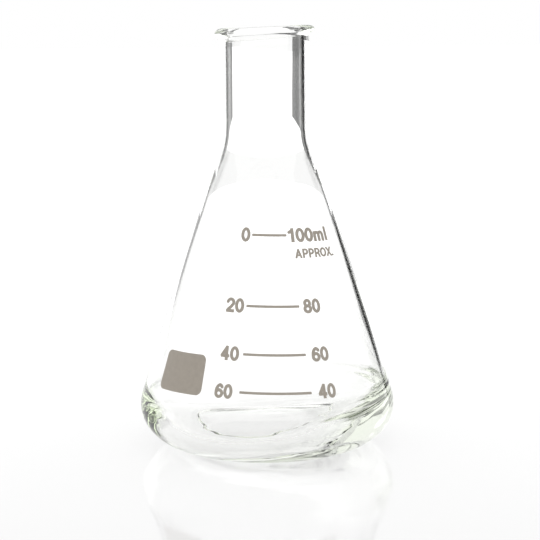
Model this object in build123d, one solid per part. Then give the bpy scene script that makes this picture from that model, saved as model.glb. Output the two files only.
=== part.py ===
from build123d import *
import math
import os

# Narrow-neck conical flask, 100 ml, blown from one piece of glass.
# Millimetres and degrees. +Z runs up the neck, the printed scale faces -Y,
# and the origin is the centre of the base on the bench.

# Outside of the vessel
total_height = 105.0
body_diameter = 64.0
neck_diameter = 22.0
neck_foot_height = 77.5
shoulder_radius = 16.0
heel_side_radius = 9.2
heel_bottom_radius = 12.2
heel_split_angle = 39.0

# Beaded, fire-polished lip: how far the bead stands out from the neck, its height, the
# slope of its underside, and the shares of its width that the two roundings take
lip_bead = 1.25
lip_height = 3.9
lip_under_angle = 45.0
lip_outer_share = 0.55
lip_inner_share = 0.42

# Inside of the vessel: the straight bore ends a little below the foot of the neck,
# and the wall thins from there to the cone
neck_wall = 1.7
bore_foot_drop = 1.8
bore_blend_radius = 20.0
wall_taper_height = 11.2
cone_wall = 1.12
inner_heel_radius = 10.0
floor_height = 3.0

# Base, pushed up inside a flat contact ring
contact_ring_width = 1.8
punt_rise = 1.8

# Enamel lines: the height of the top one, at the nominal capacity in millilitres, then
# each line's volume with the angles where it starts and ends round the cone
nominal_capacity = 100
nominal_level = 54.8
scale_lines = {
    40: (-16.6, 16.7),
    60: (-15.9, 16.0),
    80: (-15.6, 15.4),
    100: (-14.3, 11.4),
}
scale_line_width = 0.55
enamel_thickness = 0.1
enamel_clearance = 0.01

# Enamel field for pencil notes, on the cone left of the scale
patch_azimuth = -49.6
patch_height = 22.1
patch_width = 14.1
patch_slant_height = 10.2
patch_corner_radius = 1.4

cubic_mm_per_ml = 1000.0
level_tolerance = 0.001

# Radii of revolution
body_radius = body_diameter / 2
neck_radius = neck_diameter / 2
lip_radius = neck_radius + lip_bead
bore_radius = neck_radius - neck_wall
lip_outer_radius = (lip_radius - bore_radius) * lip_outer_share
lip_inner_radius = (lip_radius - bore_radius) * lip_inner_share


def direction(angle):
    """Unit vector in a section, at an angle above the radial direction."""
    return Vector(math.cos(math.radians(angle)), math.sin(math.radians(angle)))


# Sections are drawn with the radius along X and the height along Y.
# Outer heel: a wide arc leaves the contact ring and runs into a tighter one at the side.
heel_bottom_centre = Vector(
    body_radius
    - heel_side_radius
    - (heel_bottom_radius - heel_side_radius) * math.cos(math.radians(heel_split_angle)),
    heel_bottom_radius,
)
heel_side_centre = heel_bottom_centre + direction(-heel_split_angle) * (
    heel_bottom_radius - heel_side_radius
)
contact_radius = heel_bottom_centre.X

# Cone: the straight line from the foot of the neck that just touches the side arc
neck_foot = Vector(neck_radius, neck_foot_height)
to_neck_foot = neck_foot - heel_side_centre
cone_lean = math.degrees(
    math.asin(heel_side_radius / to_neck_foot.length)
    + math.atan2(-to_neck_foot.X, to_neck_foot.Y)
)
cone_normal = direction(cone_lean)
heel_turn = 90 + cone_lean


def cone_radius(height, depth):
    """Radius at a height on the cone, at a depth below its outer face."""
    point = heel_side_centre + cone_normal * (heel_side_radius - depth)
    return point.X - (height - point.Y) * math.tan(math.radians(cone_lean))


# Inner heel: one arc that touches both the inner cone and the floor
inner_heel_height = floor_height + inner_heel_radius
inner_heel_centre = Vector(
    cone_radius(inner_heel_height, cone_wall + inner_heel_radius),
    inner_heel_height,
)


def outside_section():
    """Half section of the vessel as if it were solid glass."""
    ring_edge = Vector(contact_radius - contact_ring_width, 0)
    punt_turn = 2 * math.degrees(math.atan2(punt_rise, ring_edge.X))
    punt_radius = ring_edge.X / math.sin(math.radians(punt_turn))
    punt = JernArc(ring_edge, direction(180 - punt_turn), punt_radius, punt_turn)
    contact_ring = Line(ring_edge, (contact_radius, 0))
    heel_bottom = JernArc((contact_radius, 0), (1, 0), heel_bottom_radius, 90 - heel_split_angle)
    heel_side = JernArc(
        heel_bottom @ 1, heel_bottom % 1, heel_side_radius, heel_split_angle + cone_lean
    )
    lip_foot = Vector(neck_radius, total_height - lip_height)
    lip_centre = Vector(lip_radius - lip_outer_radius, total_height - lip_outer_radius)
    lip_under = lip_centre + direction(-lip_under_angle) * lip_outer_radius
    shoulder = FilletPolyline(heel_side @ 1, neck_foot, lip_foot, radius=shoulder_radius)
    underside = Line(lip_foot, lip_under)
    bead = JernArc(
        lip_under, direction(90 - lip_under_angle), lip_outer_radius, 90 + lip_under_angle
    )
    top = Line(bead @ 1, (0, total_height))
    axis = Line(top @ 1, punt @ 1)
    wall = [heel_bottom, heel_side, shoulder, underside, bead]
    return make_face([punt, contact_ring, *wall, top, axis])


def cavity_section():
    """Half section of the space inside, up to the top of the lip."""
    heel_top = inner_heel_centre + cone_normal * inner_heel_radius
    mouth_edge = (bore_radius + lip_inner_radius, total_height)
    mouth = JernArc(mouth_edge, (-1, 0), lip_inner_radius, 90)
    bore_foot_height = neck_foot_height - bore_foot_drop
    taper_foot_height = bore_foot_height - wall_taper_height
    taper_foot = Vector(cone_radius(taper_foot_height, cone_wall), taper_foot_height)
    neck = FilletPolyline(
        mouth @ 1, (bore_radius, bore_foot_height), taper_foot, radius=bore_blend_radius
    )
    cone = Line(taper_foot, heel_top)
    heel = JernArc(heel_top, direction(cone_lean - 90), inner_heel_radius, -heel_turn)
    floor = Line(heel @ 1, (0, floor_height))
    axis = Line(floor @ 1, (0, total_height))
    top = Line(axis @ 1, mouth_edge)
    return make_face([mouth, neck, cone, heel, floor, axis, top])


outside = outside_section()
cavity = cavity_section()


def band(low, high):
    """Strip of a section between two heights, from the axis out past the body."""
    return Pos(body_radius, (low + high) / 2) * Rectangle(body_diameter, high - low)


def volume_below(height):
    """Millilitres held below a height: the area of the section swept round the axis."""
    filled = (cavity & band(0, height)).face()
    return filled.area * 2 * math.pi * filled.center().X / cubic_mm_per_ml


def level_of(share):
    """Height of the liquid's surface when the flask holds a share of its nominal volume."""
    target = share * volume_below(nominal_level)
    low = floor_height
    high = nominal_level
    while high - low > level_tolerance:
        middle = (low + high) / 2
        if volume_below(middle) < target:
            low = middle
        else:
            high = middle
    return (low + high) / 2


def enamel_section(low, high):
    """Section of the enamel between two heights, lying on the outer face of the cone."""
    under = [Vector(cone_radius(height, -enamel_clearance), height) for height in (low, high)]
    skin = [Vector(cone_radius(height, -enamel_thickness), height) for height in (high, low)]
    return Plane.XZ * make_face(Polyline(*under, *skin, close=True))


def make_vessel():
    """The glass: the outside less the space inside, turned about the axis."""
    return revolve(Plane.XZ * (outside - cavity), Axis.Z)


def make_scale_line(volume, start, end):
    """One enamel line at the level of a volume, following the outer face of the glass."""
    level = level_of(volume / nominal_capacity)
    strip = enamel_section(level - scale_line_width / 2, level + scale_line_width / 2)
    line = revolve(strip, Axis.Z, revolution_arc=end - start)
    print(f"{volume} ml line at {level:.2f} mm")
    return Rot(Z=start - 90) * line


def make_patch():
    """The enamel field: a rounded rectangle wrapped on the cone."""
    strip = enamel_section(
        patch_height - patch_slant_height / 2, patch_height + patch_slant_height / 2
    )
    ring = revolve(strip, Axis.Z)
    seat = Plane(
        origin=(cone_radius(patch_height, 0), 0, patch_height),
        x_dir=(0, 1, 0),
        z_dir=(cone_normal.X, 0, cone_normal.Y),
    )
    outline = RectangleRounded(patch_width, patch_slant_height, patch_corner_radius)
    stencil = extrude(seat * outline, amount=body_radius / 2, both=True)
    stencil = Rot(Z=patch_azimuth - 90) * stencil
    return ring & stencil


parts = {"flask_body": make_vessel(), "marking_patch": make_patch()}
for volume, (start, end) in scale_lines.items():
    parts[f"graduation_{volume}_ml"] = make_scale_line(volume, start, end)

os.makedirs("parts", exist_ok=True)
for name, part in parts.items():
    export_step(part, f"parts/{name}.step")
print(f"cone leans {cone_lean:.2f} degrees, contact radius {contact_radius:.2f} mm")
print(f"it holds {volume_below(nominal_level):.1f} ml at the top line")
print(f"it holds {volume_below(total_height):.1f} ml at the brim")
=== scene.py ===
import math

import bpy
import numpy as np
from mathutils import Matrix, Vector, noise


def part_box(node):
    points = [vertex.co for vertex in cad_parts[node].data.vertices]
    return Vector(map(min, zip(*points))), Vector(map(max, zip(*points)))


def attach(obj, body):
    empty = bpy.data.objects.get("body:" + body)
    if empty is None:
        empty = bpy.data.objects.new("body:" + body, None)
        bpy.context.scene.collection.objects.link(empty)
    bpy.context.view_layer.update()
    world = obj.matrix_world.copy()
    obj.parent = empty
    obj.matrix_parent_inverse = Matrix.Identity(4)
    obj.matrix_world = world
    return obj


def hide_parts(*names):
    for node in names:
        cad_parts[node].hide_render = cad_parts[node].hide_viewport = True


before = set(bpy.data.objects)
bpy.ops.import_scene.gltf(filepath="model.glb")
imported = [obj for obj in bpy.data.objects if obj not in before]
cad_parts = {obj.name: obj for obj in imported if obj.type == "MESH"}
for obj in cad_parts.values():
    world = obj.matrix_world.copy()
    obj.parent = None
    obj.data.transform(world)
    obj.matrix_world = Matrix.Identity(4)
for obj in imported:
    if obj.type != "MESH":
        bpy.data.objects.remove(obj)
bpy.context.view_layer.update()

# The vessel and its print are in millimetres and degrees. The materials, the floor, the panels and
# the camera are in metres and degrees.
MM = 0.001

# Outside of the vessel, with the same sizes as the solid model
TOTAL_HEIGHT = 105.0
BODY_RADIUS = 32.0
NECK_RADIUS = 11.0
NECK_FOOT = 77.5
SHOULDER_RADIUS = 16.0
HEEL_SIDE_RADIUS = 9.2
HEEL_BOTTOM_RADIUS = 12.2
HEEL_SPLIT_ANGLE = 39.0
RING_WIDTH = 1.8
PUNT_RISE = 1.8
LIP_BEAD = 1.25
LIP_HEIGHT = 3.9
LIP_UNDER_ANGLE = 45.0
LIP_OUTER_SHARE = 0.55
LIP_INNER_SHARE = 0.42

# Inside of the vessel, with the same sizes as the solid model
BORE_RADIUS = 9.3
BORE_FOOT = 75.7
BORE_BLEND = 20.0
TAPER_HEIGHT = 11.2
CONE_WALL = 1.12
INNER_HEEL_RADIUS = 10.0
FLOOR_HEIGHT = 3.0

# Slight forms that the solid model leaves out: roundings, and the crown of the inner floor.
# RING_APPROACH is the run and rise of the punt just inside the contact ring.
RING_APPROACH = (2, 0.45)
RING_EDGE_RADIUS = 1.2
LIP_ROOT_RADIUS = 0.9
TAPER_FOOT_RADIUS = 60.0
FLOOR_CROWN = 0.9

# How finely the glass is divided: steps along its section, and sides round it
ARC_STEP = 0.25
LIP_STEP = 0.12
PUNT_STEP = 0.8
STRAIGHT_STEP = 1.5
LEAST_STEP = 0.03
FLOOR_RINGS = 25
SEGMENTS = 288

# The lip isn't a true turning. Its foot is higher and its top lower, and both tilt: the second
# number is how much higher they are for each millimetre towards the right. The shift of the foot
# fades out in the neck, LIP_SHIFT_REACH below the top.
LIP_FOOT_SHIFT = (0.25, 0.077)
LIP_TOP_SHIFT = (-0.95, 0.035)
LIP_SHIFT_REACH = 9

# Inside, the base and heel are thicker towards the right: the extra height on the axis, for each
# millimetre to the right, and for the square of that. It is half gone at HEEL_SHIFT_HEIGHT.
HEEL_LIFT = 0.9
HEEL_LEAN = 0.075
HEEL_CURVE = 0.0009
HEEL_SHIFT_HEIGHT = 15
HEEL_SHIFT_FADE = 2.5

# Slow waves in the whole inner face: their depth, and how fast they change round the axis and up
# the wall. They are slight near the middle of the floor and fade out towards the mouth.
WAVE_DEPTH = 0.05
WAVE_TURN = 1.6
WAVE_RISE = 0.05
FLOOR_WAVE_RADII = (15, 21)
FLOOR_WAVE_SHARES = (0.1, 1.0)
WAVE_MOUTH_FADE = 8

# Streaks in the thick glass of the heel, which are shallower on the left
STREAK_DEPTH = 0.16
STREAK_TURN = 2.4
STREAK_START = 7
STREAK_RISE = 0.9
STREAK_SPREAD = 0.25
STREAK_SIDES = (-22, 4)
STREAK_SHARES = (0.15, 1.0)

# Enamel print: distance of its two faces from the glass, drop towards the right, and the cell and
# margin of the grid that its outlines are cut from
ENAMEL_UNDER = 0.01
ENAMEL_OVER = 0.07
PRINT_SKEW = 0.03
PRINT_CELL = 0.09
PRINT_MARGIN = 0.3

# Volume lines, with the angles where each starts and ends round the cone
LINE_WIDTH = 0.6
LINE_CORNER = 0.12
LINES = {
    40: (-16.6, 16.7),
    60: (-15.9, 16.0),
    80: (-15.6, 15.4),
    100: (-14.3, 11.6),
}

# Field for notes
PATCH_AZIMUTH = -49.6
PATCH_WIDTH = 14.1
PATCH_SLANT_HEIGHT = 9.8
PATCH_CORNER = 1.5
PATCH_TILT = 0.02
PATCH_CELL = 0.15

# Words: text, the volume whose line they stand by, azimuth, height above that line, stretch
NUMERAL_CAP = 3.45
NUMERAL_HALF_STROKE = 0.11
NUMERALS = [
    ("0", 100, -19.1, 0.0, 1.0),
    ("20", 80, -22.4, 0.0, 1.0),
    ("40", 60, -22.8, 0.0, 1.0),
    ("60", 40, -24.2, 0.0, 1.0),
    ("80", 80, 23.3, 0.0, 1.0),
    ("60", 60, 23.9, 0.0, 1.0),
    ("40", 40, 24.6, 0.2, 1.0),
    ("100ml", 100, 30.5, 0.0, 1.06),
]
NOTE_CAP = 2.3
NOTE_HALF_STROKE = 0.1
NOTES = [("APPROX.", 100, 33.7, -4.25, 1.12)]


# Section of the vessel, as (radius, height) points
def unit(angle):
    return np.array([math.cos(math.radians(angle)), math.sin(math.radians(angle))])


def arc(centre, radius, start, end, step=ARC_STEP):
    """Points on an arc from one angle to another, about a step apart."""
    count = max(4, math.ceil(abs(math.radians(end - start)) * radius / step))
    return [np.array(centre) + radius * unit(a) for a in np.linspace(start, end, count + 1)]


def straight(start, end):
    """Points on a straight run."""
    start = np.array(start)
    run = np.array(end) - start
    count = max(1, math.ceil(np.linalg.norm(run) / STRAIGHT_STEP))
    return [start + run * t for t in np.linspace(0, 1, count + 1)]


def fillet(before, corner, after, radius):
    """Arc that rounds a corner between two straight runs."""
    before, corner, after = (np.array(p, float) for p in (before, corner, after))
    to_a = (before - corner) / np.linalg.norm(before - corner)
    to_b = (after - corner) / np.linalg.norm(after - corner)
    half = math.acos(np.clip(to_a @ to_b, -1, 1)) / 2
    middle = (to_a + to_b) / np.linalg.norm(to_a + to_b)
    centre = corner + middle * radius / math.sin(half)
    ends = [corner + d * radius / math.tan(half) - centre for d in (to_a, to_b)]
    start, end = (math.degrees(math.atan2(e[1], e[0])) for e in ends)
    turn = (end - start + 180) % 360 - 180
    return arc(centre, radius, start, start + turn)


# Outer heel: a wide arc from the contact ring runs into a tighter one at the side, and the cone
# is the straight line from the foot of the neck that just touches the side arc
bottom_centre = np.array([
    BODY_RADIUS - HEEL_SIDE_RADIUS
    - (HEEL_BOTTOM_RADIUS - HEEL_SIDE_RADIUS) * math.cos(math.radians(HEEL_SPLIT_ANGLE)),
    HEEL_BOTTOM_RADIUS,
])
side_centre = bottom_centre + unit(-HEEL_SPLIT_ANGLE) * (HEEL_BOTTOM_RADIUS - HEEL_SIDE_RADIUS)
neck_foot = np.array([NECK_RADIUS, NECK_FOOT])
reach = neck_foot - side_centre
LEAN = math.degrees(
    math.asin(HEEL_SIDE_RADIUS / np.linalg.norm(reach)) + math.atan2(-reach[0], reach[1])
)
SLOPE = math.tan(math.radians(LEAN))


def cone_radius(height, depth=0.0):
    """Radius at a height on the cone, at a depth below its outer face."""
    point = side_centre + unit(LEAN) * (HEEL_SIDE_RADIUS - depth)
    return point[0] - (height - point[1]) * SLOPE


def outer_section():
    """From the axis under the base to the top of the lip."""
    ring = bottom_centre[0]
    edge = ring - RING_WIDTH
    turn = 2 * math.degrees(math.atan2(PUNT_RISE, edge))
    punt_radius = edge / math.sin(math.radians(turn))
    points = arc((0, PUNT_RISE - punt_radius), punt_radius, 90, 90 - turn, PUNT_STEP)
    approach = (edge - RING_APPROACH[0], RING_APPROACH[1])
    points += fillet(approach, (edge, 0.0), (ring, 0.0), RING_EDGE_RADIUS)
    points += arc(bottom_centre, HEEL_BOTTOM_RADIUS, -90, -HEEL_SPLIT_ANGLE)
    points += arc(side_centre, HEEL_SIDE_RADIUS, -HEEL_SPLIT_ANGLE, LEAN)
    lip_foot = (NECK_RADIUS, TOTAL_HEIGHT - LIP_HEIGHT)
    shoulder = fillet(points[-1], neck_foot, lip_foot, SHOULDER_RADIUS)
    points += straight(points[-1], shoulder[0]) + shoulder
    lip_radius = NECK_RADIUS + LIP_BEAD
    lip_round = (lip_radius - BORE_RADIUS) * LIP_OUTER_SHARE
    lip_centre = (lip_radius - lip_round, TOTAL_HEIGHT - lip_round)
    under = np.array(lip_centre) + unit(-LIP_UNDER_ANGLE) * lip_round
    root = fillet(neck_foot, lip_foot, under, LIP_ROOT_RADIUS)
    points += straight(shoulder[-1], root[0]) + root
    points += arc(lip_centre, lip_round, -LIP_UNDER_ANGLE, 90, LIP_STEP)
    return points


def inner_section():
    """From the top of the lip down the inside to the axis on the floor."""
    lip_round = (NECK_RADIUS + LIP_BEAD - BORE_RADIUS) * LIP_INNER_SHARE
    mouth = (BORE_RADIUS + lip_round, TOTAL_HEIGHT - lip_round)
    points = arc(mouth, lip_round, 90, 180, LIP_STEP)
    taper_foot_height = BORE_FOOT - TAPER_HEIGHT
    taper_foot = (cone_radius(taper_foot_height, CONE_WALL), taper_foot_height)
    heel_height = FLOOR_HEIGHT + INNER_HEEL_RADIUS
    heel_centre = np.array([cone_radius(heel_height, CONE_WALL + INNER_HEEL_RADIUS), heel_height])
    heel_top = heel_centre + unit(LEAN) * INNER_HEEL_RADIUS
    bore = fillet(points[-1], (BORE_RADIUS, BORE_FOOT), taper_foot, BORE_BLEND)
    taper = fillet(bore[-1], taper_foot, heel_top, TAPER_FOOT_RADIUS)
    points += straight(points[-1], bore[0]) + bore
    points += straight(bore[-1], taper[0]) + taper
    points += straight(taper[-1], heel_top)
    points += arc(heel_centre, INNER_HEEL_RADIUS, LEAN, -90)
    edge = points[-1][0]
    for radius in np.linspace(edge, 0, FLOOR_RINGS + 1)[1:]:
        rise = 0.5 + 0.5 * math.cos(math.pi * radius / edge)
        points.append(np.array([radius, FLOOR_HEIGHT + FLOOR_CROWN * rise]))
    return points


def without_doubles(points):
    """The points that lie at least a short step from the one before."""
    kept = [points[0]]
    for point in points[1:]:
        if np.linalg.norm(point - kept[-1]) > LEAST_STEP:
            kept.append(point)
    return kept


def make_mesh(name, vertices, faces, smooth=True):
    mesh = bpy.data.meshes.new(name)
    mesh.from_pydata([tuple(v) for v in vertices], [], faces)
    mesh.update()
    if smooth:
        mesh.shade_smooth()
    piece = bpy.data.objects.new(name, mesh)
    bpy.context.scene.collection.objects.link(piece)
    return piece


def lathe(name, points, shift):
    """Turns a section whose two ends lie on the axis. shift moves each point a little."""
    start = points[0][1]
    end = points[-1][1]
    rings = points[1:-1]
    vertices = [(0, 0, (start + shift(0, 0.0, start, 0.0)[1]) * MM)]
    for index, (radius, height) in enumerate(rings):
        for side in range(SEGMENTS):
            angle = 2 * math.pi * side / SEGMENTS
            dr, dz = shift(index, radius, height, angle)
            vertices.append((
                (radius + dr) * math.sin(angle) * MM,
                -(radius + dr) * math.cos(angle) * MM,
                (height + dz) * MM,
            ))
    vertices.append((0, 0, (end + shift(len(rings), 0.0, end, 0.0)[1]) * MM))
    last = 1 + (len(rings) - 1) * SEGMENTS
    faces = []
    for side in range(SEGMENTS):
        following = (side + 1) % SEGMENTS
        faces.append((0, 1 + following, 1 + side))
        for low in range(1, last, SEGMENTS):
            high = low + SEGMENTS
            faces.append((low + side, low + following, high + following, high + side))
        faces.append((last + side, last + following, len(vertices) - 1))
    return make_mesh(name, vertices, faces)


outer_points = outer_section()
section = without_doubles(outer_points + inner_section())
inner_start = len(without_doubles(outer_points))


def lip_shift(x, height):
    """How much higher the glass is at the lip, x to the right of the axis."""
    knots = (TOTAL_HEIGHT - LIP_SHIFT_REACH, TOTAL_HEIGHT - LIP_HEIGHT, TOTAL_HEIGHT)
    foot, top = (level + tilt * x for level, tilt in (LIP_FOOT_SHIFT, LIP_TOP_SHIFT))
    return np.interp(height, knots, (0.0, foot, top))


def glass_waves(index, radius, height, angle):
    """Shift of a point of the glass outwards and upwards: the tilt of the lip, and on the inner
    face the lean of the heel, the waves and the streaks, which lie in the floor and the wall."""
    right = math.sin(angle)
    back = math.cos(angle)
    x = radius * right
    lip = lip_shift(x, height)
    if index < inner_start:
        return 0.0, lip
    low = 1 / (1 + math.exp((height - HEEL_SHIFT_HEIGHT) / HEEL_SHIFT_FADE))
    wave_place = Vector((right * WAVE_TURN, back * WAVE_TURN, height * WAVE_RISE))
    streak_place = Vector((
        right * STREAK_TURN + STREAK_START,
        back * STREAK_TURN,
        height * STREAK_RISE + radius * STREAK_SPREAD,
    ))
    streaks = STREAK_DEPTH * np.interp(x, STREAK_SIDES, STREAK_SHARES)
    wave = WAVE_DEPTH * noise.noise(wave_place) + streaks * low * noise.noise(streak_place)
    lean = low * (HEEL_LIFT + HEEL_LEAN * x + HEEL_CURVE * x * x)
    wall = min(1.0, max(0.0, (height - FLOOR_HEIGHT) / INNER_HEEL_RADIUS))
    mouth = min(1.0, (TOTAL_HEIGHT - height) / WAVE_MOUTH_FADE)
    dr = wave * wall * mouth - SLOPE * lean * wall
    dz = lean + wave * (1 - wall) * np.interp(radius, FLOOR_WAVE_RADII, FLOOR_WAVE_SHARES)
    return dr, dz + lip


vessel = lathe("glass_vessel", section, glass_waves)
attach(vessel, "root")
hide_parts("flask_body")


# Shapes of the print are given by a distance, cut from a fine grid and wrapped on the cone. FAR is
# more than any distance in a word, in letter heights.
FAR = 9.0


def box_distance(x, y, start, end, half):
    """Distance to a straight stroke with square ends."""
    sx, sy = start
    length = math.hypot(end[0] - sx, end[1] - sy)
    ux = (end[0] - sx) / length
    uy = (end[1] - sy) / length
    along = (x - sx) * ux + (y - sy) * uy - length / 2
    across = -(x - sx) * uy + (y - sy) * ux
    dx = np.abs(along) - length / 2
    dy = np.abs(across) - half
    outside = np.hypot(np.maximum(dx, 0), np.maximum(dy, 0))
    return outside + np.minimum(np.maximum(dx, dy), 0)


def path_distance(x, y, points, half):
    """Distance to a bent stroke that follows points."""
    best = np.full(x.shape, FAR)
    for (ax, ay), (bx, by) in zip(points, points[1:]):
        ux = bx - ax
        uy = by - ay
        t = np.clip(((x - ax) * ux + (y - ay) * uy) / (ux * ux + uy * uy), 0, 1)
        best = np.minimum(best, np.hypot(x - ax - t * ux, y - ay - t * uy))
    return best - half


def bow(cx, cy, rx, ry, start, end, count=20):
    """Points on part of an ellipse."""
    return [
        (cx + rx * math.cos(math.radians(a)), cy + ry * math.sin(math.radians(a)))
        for a in np.linspace(start, end, count)
    ]


# Plain letters one unit tall, each with its width and its strokes: ("s", start, end) is a
# straight stroke with square ends, ("c", points) a bent one with round ends
GLYPHS = {
    "0": (0.66, [("c", bow(0.33, 0.5, 0.22, 0.4, 0, 360, 40))]),
    "1": (0.56, [
        ("s", (0.35, 0.0), (0.35, 1.0)),
        ("c", [(0.34, 0.88), (0.25, 0.77), (0.13, 0.71)]),
    ]),
    "2": (0.66, [
        ("c", bow(0.33, 0.68, 0.215, 0.22, 172, -38) + [(0.36, 0.36), (0.2, 0.22), (0.13, 0.12)]),
        ("s", (0.04, 0.09), (0.62, 0.09)),
    ]),
    "4": (0.68, [
        ("s", (0.44, 0.0), (0.44, 1.0)),
        ("s", (0.02, 0.31), (0.64, 0.31)),
        ("c", [(0.43, 0.9), (0.1, 0.34)]),
    ]),
    "6": (0.66, [
        ("c", bow(0.33, 0.32, 0.215, 0.225, 0, 360, 32)),
        ("c", bow(0.42, 0.44, 0.305, 0.46, 190, 108) + bow(0.35, 0.7, 0.19, 0.2, 90, 20, 8)),
    ]),
    "8": (0.66, [
        ("c", bow(0.33, 0.705, 0.185, 0.195, 0, 360, 32)),
        ("c", bow(0.33, 0.305, 0.215, 0.21, 0, 360, 32)),
    ]),
    "m": (0.98, [
        ("s", (0.14, 0.0), (0.14, 0.72)),
        ("c", bow(0.31, 0.46, 0.165, 0.17, 170, 0, 12) + [(0.475, 0.08)]),
        ("c", bow(0.64, 0.46, 0.165, 0.17, 170, 0, 12) + [(0.805, 0.08)]),
    ]),
    "l": (0.32, [("s", (0.15, 0.0), (0.15, 1.0))]),
    "A": (0.72, [
        ("c", [(0.1, 0.08), (0.35, 0.9), (0.6, 0.08)]),
        ("s", (0.2, 0.3), (0.5, 0.3)),
    ]),
    "P": (0.66, [
        ("s", (0.15, 0.0), (0.15, 1.0)),
        ("c", [(0.15, 0.9), (0.34, 0.9)] + bow(0.36, 0.67, 0.19, 0.23, 90, -90, 12) + [(0.15, 0.44)]),
    ]),
    "R": (0.7, [
        ("s", (0.15, 0.0), (0.15, 1.0)),
        ("c", [(0.15, 0.9), (0.36, 0.9)] + bow(0.38, 0.68, 0.18, 0.22, 90, -90, 12) + [(0.15, 0.46)]),
        ("c", [(0.36, 0.46), (0.5, 0.34), (0.58, 0.08)]),
    ]),
    "O": (0.8, [("c", bow(0.39, 0.5, 0.29, 0.4, 0, 360, 40))]),
    "X": (0.7, [
        ("c", [(0.1, 0.08), (0.6, 0.92)]),
        ("c", [(0.1, 0.92), (0.6, 0.08)]),
    ]),
    ".": (0.3, [("s", (0.05, 0.1), (0.27, 0.1))]),
}


def text_width(text):
    return sum(GLYPHS[letter][0] for letter in text)


def text_distance(text, cap, stretch, half):
    """Distance field of a word whose middle is at the origin, with its letters cap tall."""
    def field(s, t):
        x = s / cap / stretch + text_width(text) / 2
        y = t / cap + 0.5
        best = np.full(s.shape, FAR)
        for letter in text:
            width, strokes = GLYPHS[letter]
            for kind, *points in strokes:
                if kind == "s":
                    stroke = box_distance(x, y, points[0], points[1], half)
                else:
                    stroke = path_distance(x, y, points[0], half)
                best = np.minimum(best, stroke)
            x = x - width
        return best * cap
    return field


def bar_distance(width, height, corner):
    """Distance field of a rounded bar whose middle is at the origin."""
    def field(s, t):
        dx = np.abs(s) - width / 2 + corner
        dy = np.abs(t) - height / 2 + corner
        outside = np.hypot(np.maximum(dx, 0), np.maximum(dy, 0))
        return outside + np.minimum(np.maximum(dx, dy), 0) - corner
    return field


def contour(field, half_width, half_height, cell):
    """Flat mesh of the area where a field is below zero, cut cleanly through the grid's cells."""
    nx = math.ceil(half_width / cell)
    ny = math.ceil(half_height / cell)
    xs = np.arange(-nx, nx + 1) * cell
    ys = np.arange(-ny, ny + 1) * cell
    grid_x, grid_y = np.meshgrid(xs, ys, indexing="ij")
    value = field(grid_x, grid_y)
    points = []
    index = {}
    faces = []

    def corner_point(i, j):
        key = (i, j)
        if key not in index:
            index[key] = len(points)
            points.append((xs[i], ys[j]))
        return index[key]

    def edge_point(here, there):
        key = tuple(sorted((here, there)))
        if key not in index:
            (a, b), (c, d) = key
            t = value[a, b] / (value[a, b] - value[c, d])
            index[key] = len(points)
            points.append((xs[a] + (xs[c] - xs[a]) * t, ys[b] + (ys[d] - ys[b]) * t))
        return index[key]

    for i in range(2 * nx):
        for j in range(2 * ny):
            ring = [(i, j), (i + 1, j), (i + 1, j + 1), (i, j + 1)]
            inside = [value[corner] < 0 for corner in ring]
            if not any(inside):
                continue
            loop = []
            for n in range(4):
                following = (n + 1) % 4
                if inside[n]:
                    loop.append(corner_point(*ring[n]))
                if inside[n] != inside[following]:
                    loop.append(edge_point(ring[n], ring[following]))
            if len(loop) >= 3:
                faces.append(tuple(loop))
    return points, faces


def print_on_cone(name, shapes, skew=PRINT_SKEW, cell=PRINT_CELL):
    """One enamel piece from shapes (field, half width, half height, azimuth, height, tilt)."""
    vertices = []
    faces = []
    for field, half_width, half_height, azimuth, height, tilt in shapes:
        points, flat = contour(field, half_width + PRINT_MARGIN, half_height + PRINT_MARGIN, cell)
        radius = cone_radius(height)
        base = len(vertices)
        for depth in (ENAMEL_OVER, ENAMEL_UNDER):
            for s, t in points:
                angle = math.radians(azimuth) + s / radius
                drop = -skew * radius * angle + tilt * s
                z = height + (t + drop) * math.cos(math.radians(LEAN))
                r = cone_radius(z, -depth)
                vertices.append((r * math.sin(angle) * MM, -r * math.cos(angle) * MM, z * MM))
        count = len(points)
        edges = {}
        for face in flat:
            faces.append(tuple(base + v for v in face))
            faces.append(tuple(base + count + v for v in reversed(face)))
            for a, b in zip(face, face[1:] + face[:1]):
                edges[(a, b)] = True
        for a, b in edges:
            if (b, a) not in edges:
                faces.append((base + b, base + a, base + count + a, base + count + b))
    piece = make_mesh(name, vertices, faces, smooth=False)
    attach(piece, "root")
    return piece


def node_height(node):
    """Middle height of a node of the solid model."""
    low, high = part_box(node)
    return (low.z + high.z) / 2 / MM


def words(rows, cap, half_stroke):
    """Shapes of the words in a table, each level with its volume line or so far above it."""
    shapes = []
    for text, volume, azimuth, above, stretch in rows:
        field = text_distance(text, cap, stretch, half_stroke)
        half_width = text_width(text) * cap * stretch / 2
        shapes.append((field, half_width, cap / 2, azimuth, level[volume] + above, 0.0))
    return shapes


level = {volume: node_height(f"graduation_{volume}_ml") for volume in LINES}
prints = []
for volume, (start, end) in LINES.items():
    length = math.radians(end - start) * cone_radius(level[volume])
    bar = bar_distance(length, LINE_WIDTH, LINE_CORNER)
    shape = (bar, length / 2, LINE_WIDTH / 2, (start + end) / 2, level[volume], 0.0)
    piece = print_on_cone(f"graduation_{volume}_ml_print", [shape])
    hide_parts(f"graduation_{volume}_ml")
    prints.append(piece)

patch = (
    bar_distance(PATCH_WIDTH, PATCH_SLANT_HEIGHT, PATCH_CORNER),
    PATCH_WIDTH / 2,
    PATCH_SLANT_HEIGHT / 2,
    PATCH_AZIMUTH,
    node_height("marking_patch"),
    PATCH_TILT,
)
piece = print_on_cone("marking_patch_print", [patch], skew=0.0, cell=PATCH_CELL)
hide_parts("marking_patch")
prints.append(piece)

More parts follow.
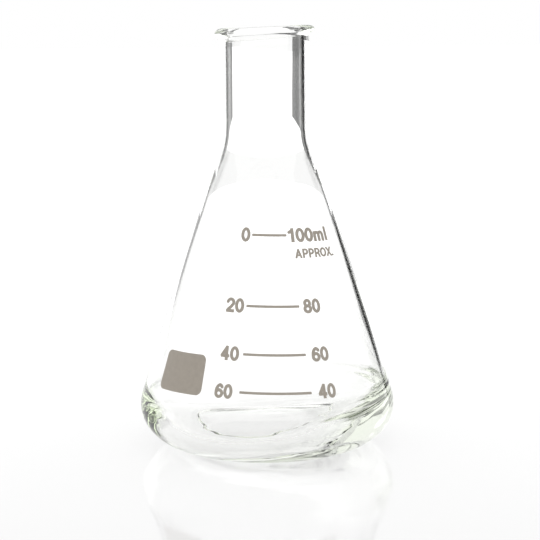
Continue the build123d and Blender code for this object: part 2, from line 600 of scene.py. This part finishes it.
prints.append(print_on_cone("scale_numerals", words(NUMERALS, NUMERAL_CAP, NUMERAL_HALF_STROKE)))
prints.append(print_on_cone("scale_note", words(NOTES, NOTE_CAP, NOTE_HALF_STROKE)))


# Materials: the glass is clear and faintly green where it is thick, the enamel warm grey
GLASS_IOR = 1.47
GLASS_TINT = (0.86, 0.92, 0.76, 1)
GLASS_DENSITY = 12.0
ENAMEL_GRAIN = 900
ENAMEL_DETAIL = 4
ENAMEL_DARK = (0.40, 0.355, 0.30, 1)
ENAMEL_LIGHT = (0.50, 0.45, 0.385, 1)
ENAMEL_ROUGHNESS = 0.45
ENAMEL_BUMP = 0.15
ENAMEL_BUMP_HEIGHT = 0.00003
WHITE = (1, 1, 1, 1)


def new_material(name):
    material = bpy.data.materials.new(name)
    material.use_nodes = True
    nodes = material.node_tree.nodes
    links = material.node_tree.links
    return material, nodes, links, nodes["Principled BSDF"], nodes["Material Output"]


def glass_material():
    material, nodes, links, shader, output = new_material("clear_glass")
    shader.inputs["Base Color"].default_value = WHITE
    shader.inputs["Roughness"].default_value = 0.0
    shader.inputs["IOR"].default_value = GLASS_IOR
    shader.inputs["Transmission Weight"].default_value = 1.0
    volume = nodes.new("ShaderNodeVolumeAbsorption")
    volume.inputs["Color"].default_value = GLASS_TINT
    volume.inputs["Density"].default_value = GLASS_DENSITY
    links.new(volume.outputs["Volume"], output.inputs["Volume"])
    return material


def enamel_material():
    material, nodes, links, shader, output = new_material("fired_enamel")
    coords = nodes.new("ShaderNodeTexCoord")
    fine = nodes.new("ShaderNodeTexNoise")
    fine.inputs["Scale"].default_value = ENAMEL_GRAIN
    fine.inputs["Detail"].default_value = ENAMEL_DETAIL
    ramp = nodes.new("ShaderNodeValToRGB")
    ramp.color_ramp.elements[0].color = ENAMEL_DARK
    ramp.color_ramp.elements[1].color = ENAMEL_LIGHT
    bump = nodes.new("ShaderNodeBump")
    bump.inputs["Strength"].default_value = ENAMEL_BUMP
    bump.inputs["Distance"].default_value = ENAMEL_BUMP_HEIGHT
    links.new(coords.outputs["Object"], fine.inputs["Vector"])
    links.new(fine.outputs["Fac"], ramp.inputs["Fac"])
    links.new(ramp.outputs["Color"], shader.inputs["Base Color"])
    links.new(fine.outputs["Fac"], bump.inputs["Height"])
    links.new(bump.outputs["Normal"], shader.inputs["Normal"])
    shader.inputs["Roughness"].default_value = ENAMEL_ROUGHNESS
    return material


vessel.data.materials.append(glass_material())
enamel = enamel_material()
for piece in prints:
    piece.data.materials.append(enamel)


# Floor: glossy, and lifted to white where it is seen directly, in a reflection or through glass
FLOOR_COLOUR = (0.28, 0.28, 0.28, 1)
FLOOR_ROUGHNESS = 0.06
FLOOR_IOR = 1.5
FLOOR_LIFT = {"Is Camera Ray": 0.545, "Is Glossy Ray": 0.545, "Is Transmission Ray": 0.72}
FLOOR_CORNERS = [(-6, -6, 0), (6, -6, 0), (6, 9, 0), (-6, 9, 0)]


def math_node(nodes, operation):
    node = nodes.new("ShaderNodeMath")
    node.operation = operation
    return node


def floor_material():
    material, nodes, links, shader, output = new_material("glossy_white_floor")
    shader.inputs["Base Color"].default_value = FLOOR_COLOUR
    shader.inputs["Roughness"].default_value = FLOOR_ROUGHNESS
    shader.inputs["IOR"].default_value = FLOOR_IOR
    path = nodes.new("ShaderNodeLightPath")
    brightest = None
    for kind, share in FLOOR_LIFT.items():
        scaled = math_node(nodes, "MULTIPLY")
        scaled.inputs[1].default_value = share
        links.new(path.outputs[kind], scaled.inputs[0])
        if brightest is None:
            brightest = scaled
            continue
        largest = math_node(nodes, "MAXIMUM")
        links.new(brightest.outputs[0], largest.inputs[0])
        links.new(scaled.outputs[0], largest.inputs[1])
        brightest = largest
    lift = nodes.new("ShaderNodeEmission")
    links.new(brightest.outputs[0], lift.inputs["Strength"])
    total = nodes.new("ShaderNodeAddShader")
    links.new(shader.outputs[0], total.inputs[0])
    links.new(lift.outputs[0], total.inputs[1])
    links.new(total.outputs[0], output.inputs["Surface"])
    return material


floor = make_mesh("floor", FLOOR_CORNERS, [(0, 1, 2, 3)], smooth=False)
floor.data.materials.append(floor_material())


# An even white room
world = bpy.data.worlds.new("white_room")
bpy.context.scene.world = world
world.use_nodes = True
background = world.node_tree.nodes["Background"]
background.inputs["Color"].default_value = WHITE
background.inputs["Strength"].default_value = 1.0

# Panels round the flask, seen only through the glass or in a reflection, which draw its edges.
# Bearings are degrees off the view's axis, right positive. Each row: name, first bearing at the
# bottom and at the top, last bearing, distance, height of the lower edge at the first and at the
# last bearing, height of the top, strength, whether it is seen reflected, and through the glass.
VIEW_BEARING = 3.8
PANEL_STEPS = 24
PANELS = [
    ("neck_card_right", (21.7, 21.7), 42, 0.03, (0.0805, 0.0755), 0.16, 0.13, False, True),
    ("neck_card_left", (-30, -30), -46, 0.03, (0.0805, 0.0755), 0.1025, 0.25, False, True),
    ("card_right", (20.5, 32), 62, 0.25, (0.0, 0.0), 0.2, 0.02, False, True),
    ("card_left", (-27, -27), -62, 0.25, (0.03, 0.03), 0.2, 0.25, False, True),
    ("edge_card_right", (27, 27), 45, 0.25, (0.0, 0.0), 0.07, 0.02, True, False),
    ("neck_strip_right", (30, 30), 70, 0.045, (0.0755, 0.0755), 0.1, 8.0, True, False),
    ("neck_strip_left", (-30, -30), -74, 0.045, (0.0755, 0.0755), 0.1, 8.0, True, False),
    ("foot_strip_right", (24, 24), 60, 0.045, (0.061, 0.061), 0.0755, 5.0, True, False),
    ("foot_strip_left", (-24, -24), -60, 0.045, (0.061, 0.061), 0.0755, 5.0, True, False),
    ("high_card", (-40, -40), 40, 0.3, (0.26, 0.26), 0.6, 0.02, True, True),
    ("neck_side_right", (66, 66), 120, 0.12, (0.06, 0.06), 0.12, 0.0, True, False),
    ("neck_side_left", (-66, -66), -120, 0.12, (0.06, 0.06), 0.12, 0.0, True, False),
]


def panel(name, starts, end, distance, lower_edge, top, strength, reflected, refracted):
    """Upright curved panel of even brightness."""
    vertices = []
    for start, (first_height, last_height) in zip(starts, (lower_edge, (top, top))):
        for share in np.linspace(0, 1, PANEL_STEPS + 1):
            bearing = math.radians(VIEW_BEARING + start + (end - start) * share)
            height = first_height + (last_height - first_height) * share
            vertices.append((distance * math.sin(bearing), distance * math.cos(bearing), height))
    upper = PANEL_STEPS + 1
    faces = [(k, k + 1, upper + k + 1, upper + k) for k in range(PANEL_STEPS)]
    piece = make_mesh(name, vertices, faces)
    material, nodes, links, shader, output = new_material(name)
    glow = nodes.new("ShaderNodeEmission")
    glow.inputs["Strength"].default_value = strength
    links.new(glow.outputs[0], output.inputs["Surface"])
    piece.data.materials.append(material)
    piece.visible_camera = False
    piece.visible_shadow = False
    piece.visible_diffuse = False
    piece.visible_glossy = reflected
    piece.visible_transmission = refracted


for row in PANELS:
    panel(*row)


# Camera, where the photographer stood
CAMERA_DISTANCE = 0.3936
CAMERA_HEIGHT = 0.1031
CAMERA_AZIMUTH = -3.8
CAMERA_PITCH = 8.584
CAMERA_YAW = 0.1335
CAMERA_ROLL = 0.434
CAMERA_LENS = 105.84
CAMERA_SENSOR = 36

camera_data = bpy.data.cameras.new("camera")
camera = bpy.data.objects.new("camera", camera_data)
bpy.context.scene.collection.objects.link(camera)
bpy.context.scene.camera = camera
camera_data.sensor_width = CAMERA_SENSOR
camera_data.lens = CAMERA_LENS
azimuth = math.radians(CAMERA_AZIMUTH)
camera.location = (
    CAMERA_DISTANCE * math.sin(azimuth), -CAMERA_DISTANCE * math.cos(azimuth), CAMERA_HEIGHT
)
turn = Matrix.Rotation(azimuth - math.radians(CAMERA_YAW), 4, "Z")
pitch = Matrix.Rotation(math.radians(90 - CAMERA_PITCH), 4, "X")
roll = Matrix.Rotation(math.radians(-CAMERA_ROLL), 4, "Z")
camera.rotation_mode = "QUATERNION"
camera.rotation_quaternion = (turn @ pitch @ roll).to_quaternion()

# Enough bounces for light to get through the many faces of the glass
MAX_BOUNCES = 64
GLASS_BOUNCES = 40
scene = bpy.context.scene
scene.view_settings.view_transform = "Standard"
scene.cycles.max_bounces = MAX_BOUNCES
scene.cycles.transmission_bounces = GLASS_BOUNCES
scene.cycles.glossy_bounces = GLASS_BOUNCES

bpy.context.view_layer.update()
